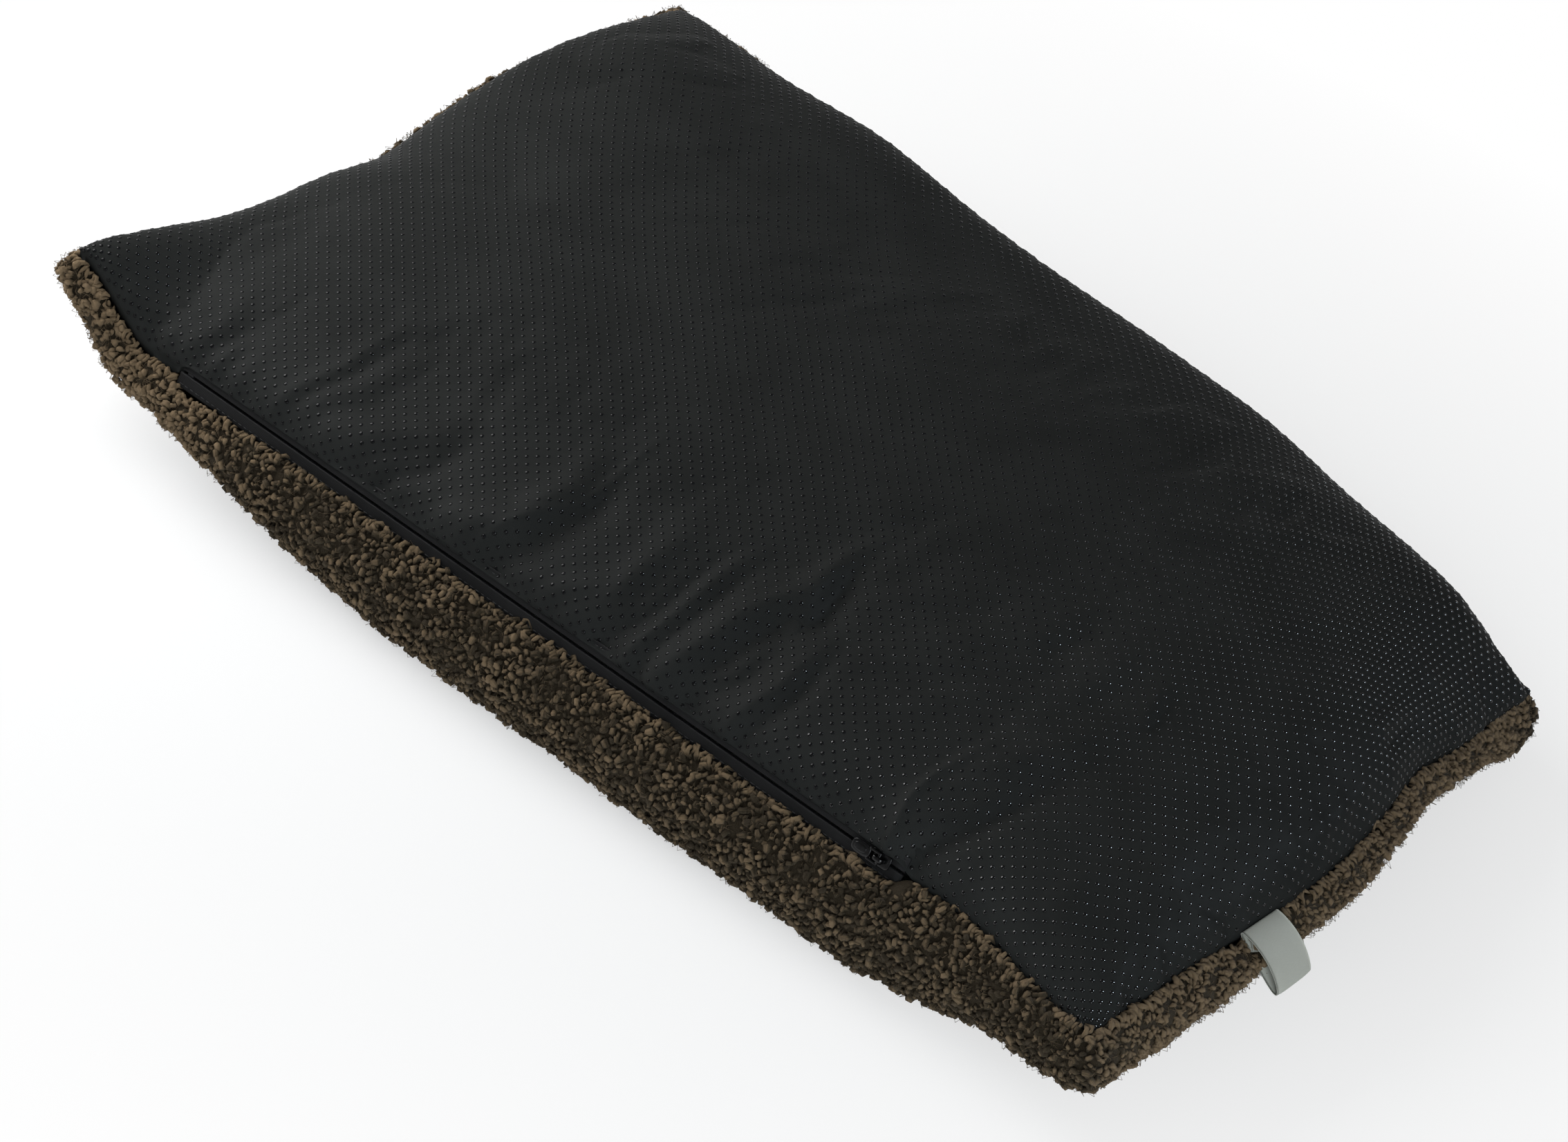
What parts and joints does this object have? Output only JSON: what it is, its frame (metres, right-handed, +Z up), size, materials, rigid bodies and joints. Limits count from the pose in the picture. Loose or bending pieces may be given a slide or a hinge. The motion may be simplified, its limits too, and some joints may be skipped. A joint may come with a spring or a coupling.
{
  "type": "zipped cushion",
  "caption": "Plump rectangular cushion with a dotted anti-slip face, a curly sherpa face that wraps round the edges, a zip along one long edge, a folded label and an inner pad.",
  "frame": {"origin": "on the floor, in the middle of the flat part of the sherpa face that the cushion rests on", "axes": "+X along the length towards the end with the label, +Y from the zipped edge to the far edge, +Z up, out of the anti-slip face"},
  "size_m": [0.5885, 0.3967, 0.0838],
  "materials": {
    "sherpa": "curly pile",
    "anti_slip": "satin with raised dots",
    "case": "matte non-woven",
    "case_thread": "matte",
    "fill": "loose fibre",
    "tape": "fine woven",
    "coil": "satin",
    "slider": "gloss",
    "stop": "satin",
    "thread": "satin",
    "label": "satin ribbon",
    "label_thread": "matte"
  },
  "bodies": {
    "cover": {"sherpa_panel": "sherpa", "anti_slip_panel": "anti_slip", "inner_case_top": "case", "inner_case_bottom": "case", "inner_case_stitching": "case_thread", "fibre_fill": "fill", "zip_tape_upper": "tape", "zip_tape_lower": "tape", "zip_coil_upper": "coil", "zip_coil_lower": "coil", "zip_top_stops": "stop", "zip_bottom_stop": "stop", "zip_stitching_upper": "thread", "zip_stitching_lower": "thread", "label_stitching": "label_thread"},
    "slider": {"zip_slider": "slider"},
    "pull_tab": {"zip_pull_tab": "slider"},
    "label": {"care_label": "label"}
  },
  "joints": [
    {"name": "zip_slide", "type": "slide", "parent": "cover", "child": "slider", "axis": [-1, 0, 0], "range_m": [0, 0.3699]},
    {"name": "pull_tab_swing", "type": "hinge", "parent": "slider", "child": "pull_tab", "pos_m": [0.16395, -0.17467, 0.04725], "axis": [0, 0.4226, 0.9063], "range_deg": [0, 180]},
    {"name": "label_flap", "type": "hinge", "parent": "cover", "child": "label", "pos_m": [0.27845, -0.0836, 0.04732], "axis": [0, -1, 0], "range_deg": [0, 60]}
  ]
}
